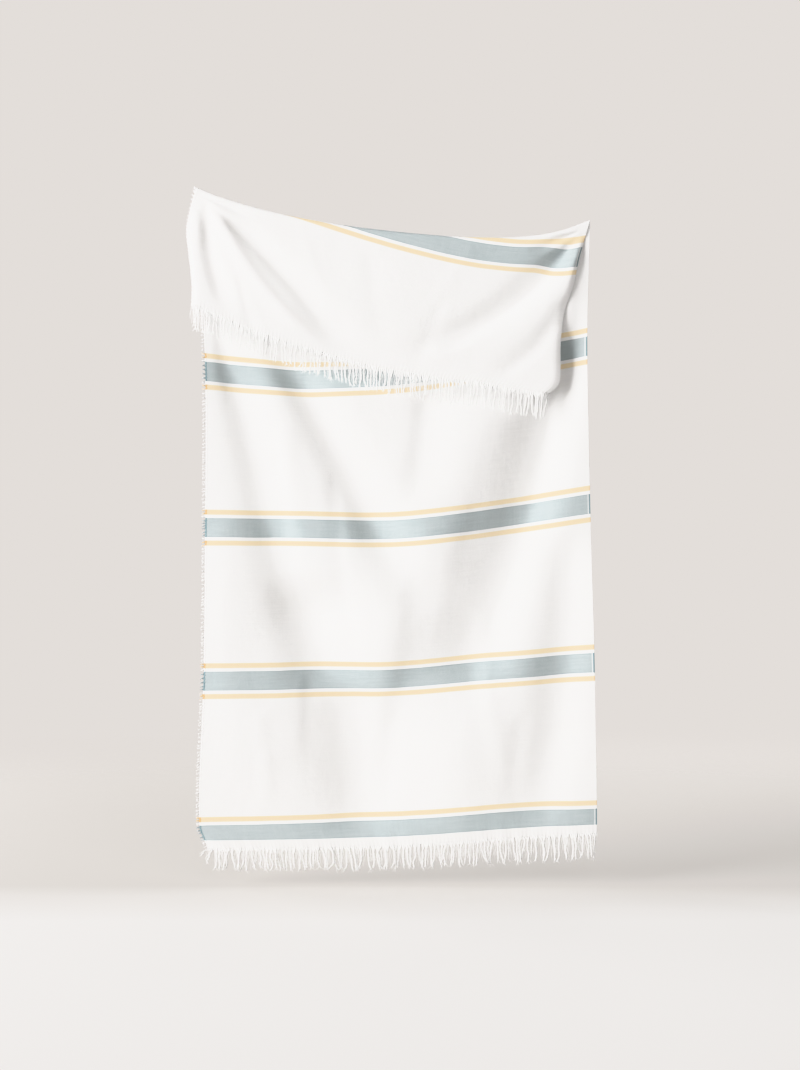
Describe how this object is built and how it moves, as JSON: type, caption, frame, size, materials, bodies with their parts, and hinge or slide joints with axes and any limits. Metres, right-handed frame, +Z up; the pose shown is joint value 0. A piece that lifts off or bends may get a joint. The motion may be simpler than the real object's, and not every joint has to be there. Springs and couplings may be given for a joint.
{
  "type": "folded fouta towel",
  "caption": "Flat-woven striped cotton towel with a fringe at both ends, folded over near its top and hanging from the two ends of the fold.",
  "frame": {"origin": "inside the fold at its left end, where the cloth is held between finger and thumb", "axes": "+X across the cloth to the held right end, +Z up, -Y toward the side on which the folded-over end hangs"},
  "size_m": [1.0091, 0.0856, 1.6825],
  "materials": {
    "woven_cotton": "flat-woven off-white cotton with blue-grey weft bands, each between two thin yellow lines, matt",
    "fringe_yarn": "off-white plied cotton yarn, matt and slightly fuzzy"
  },
  "bodies": {
    "root": {"back_panel": "woven_cotton", "front_flap": "woven_cotton", "hem_fringe": "fringe_yarn", "flap_fringe": "fringe_yarn"}
  },
  "joints": []
}
